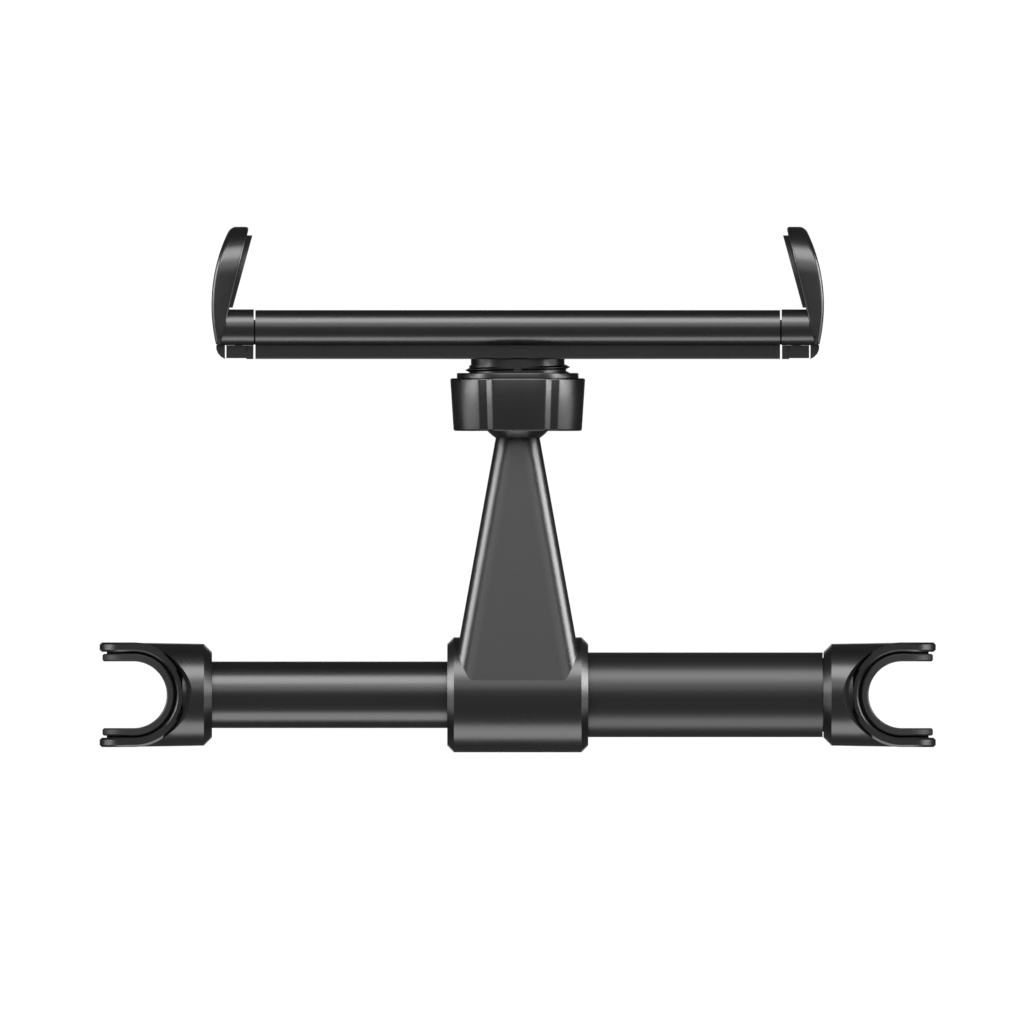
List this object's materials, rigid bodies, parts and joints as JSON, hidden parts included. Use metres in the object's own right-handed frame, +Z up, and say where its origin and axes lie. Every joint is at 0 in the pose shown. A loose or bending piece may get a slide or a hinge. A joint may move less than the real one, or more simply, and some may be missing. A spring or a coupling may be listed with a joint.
{
  "type": "headrest phone holder",
  "caption": "Telescopic bar that clamps between headrest posts, with an arm, a ball joint and a cradle whose sprung jaws grip a phone or tablet.",
  "frame": {"origin": "on the bar's axis, in the middle of the hub, half way between the two headrest posts in the pose shown", "axes": "+X along the bar towards the thick grip tube, +Y from the bar to the cradle and the passenger behind the seat, +Z up along the headrest posts"},
  "size_m": [0.1756, 0.1104, 0.0284],
  "materials": {
    "moulding": "satin black, fine moulded grain",
    "bright_tube": "black anodised, satin bright",
    "dull_tube": "black anodised, duller",
    "rubber": "matte black",
    "bearing_plastic": "plain dark grey, slightly waxy",
    "steel": "blackened",
    "spring_steel": "drawn wire"
  },
  "bodies": {
    "bar": {"hub_arm": "moulding", "core_tube": "dull_tube", "rod_bush": "bearing_plastic", "lock_shoe": "bearing_plastic", "fork_right": "moulding", "fork_liner_right": "rubber", "tube_screws": "steel"},
    "rod": {"rod_tube": "bright_tube", "rod_plug": "bearing_plastic", "guide_pin": "steel", "fork_left": "moulding", "fork_liner_left": "rubber", "rod_screw": "steel"},
    "grip": {"twist_grip": "dull_tube"},
    "cup": {"ball_cup": "bearing_plastic"},
    "ring": {"clamp_ring": "bearing_plastic"},
    "cradle": {"ball_socket": "moulding", "front_shell": "moulding", "back_cover": "moulding", "front_pad": "rubber", "cover_screws": "steel", "socket_screws": "steel", "pinion_pin": "steel", "spring_left": "spring_steel", "spring_right": "spring_steel"},
    "nut": {"clamp_nut": "moulding"},
    "left_jaw": {"jaw_left": "moulding", "jaw_pad_left": "rubber", "jaw_cap_left": "moulding", "jaw_screws_left": "steel", "slider_left": "bearing_plastic"},
    "right_jaw": {"jaw_right": "moulding", "jaw_pad_right": "rubber", "jaw_cap_right": "moulding", "jaw_screws_right": "steel", "slider_right": "bearing_plastic"},
    "pinion": {"pinion": "bearing_plastic"}
  },
  "joints": [
    {"name": "rod_slide", "type": "slide", "parent": "bar", "child": "rod", "axis": [-1, 0, 0], "range_m": [-0.044, 0.012]},
    {"name": "grip_turn", "type": "hinge", "parent": "bar", "child": "grip", "pos_m": [0.04, 0, 0], "axis": [1, 0, 0], "range_deg": [0, 90]},
    {"name": "ball_tilt", "type": "hinge", "parent": "bar", "child": "cup", "pos_m": [0, 0.061, 0], "axis": [1, 0, 0], "range_deg": [-18, 18]},
    {"name": "ball_swivel", "type": "hinge", "parent": "cup", "child": "ring", "pos_m": [0, 0.061, 0], "axis": [0, 0, 1], "range_deg": [-18, 18]},
    {"name": "cradle_roll", "type": "hinge", "parent": "ring", "child": "cradle", "pos_m": [0, 0.061, 0], "axis": [0, 1, 0], "continuous": true},
    {"name": "nut_turn", "type": "hinge", "parent": "cradle", "child": "nut", "pos_m": [0, 0.061, 0], "axis": [0, 1, 0], "range_deg": [0, 180]},
    {"name": "jaw_left_slide", "type": "slide", "parent": "cradle", "child": "left_jaw", "axis": [-1, 0, 0], "range_m": [0, 0.048], "stiffness_N_per_m": 150, "springref_m": -0.03, "deforming": ["spring_left"]},
    {"name": "jaw_right_slide", "type": "slide", "parent": "cradle", "child": "right_jaw", "axis": [1, 0, 0], "range_m": [0, 0.048], "stiffness_N_per_m": 150, "springref_m": -0.03, "deforming": ["spring_right"]},
    {"name": "pinion_spin", "type": "hinge", "parent": "cradle", "child": "pinion", "pos_m": [0, 0.0757, 0], "axis": [0, -1, 0], "range_deg": [0, 690]}
  ],
  "couplings": [
    {"joint": "jaw_right_slide", "follows": "jaw_left_slide", "ratio": 1},
    {"joint": "pinion_spin", "follows": "jaw_left_slide", "rad_per_m": 250}
  ]
}
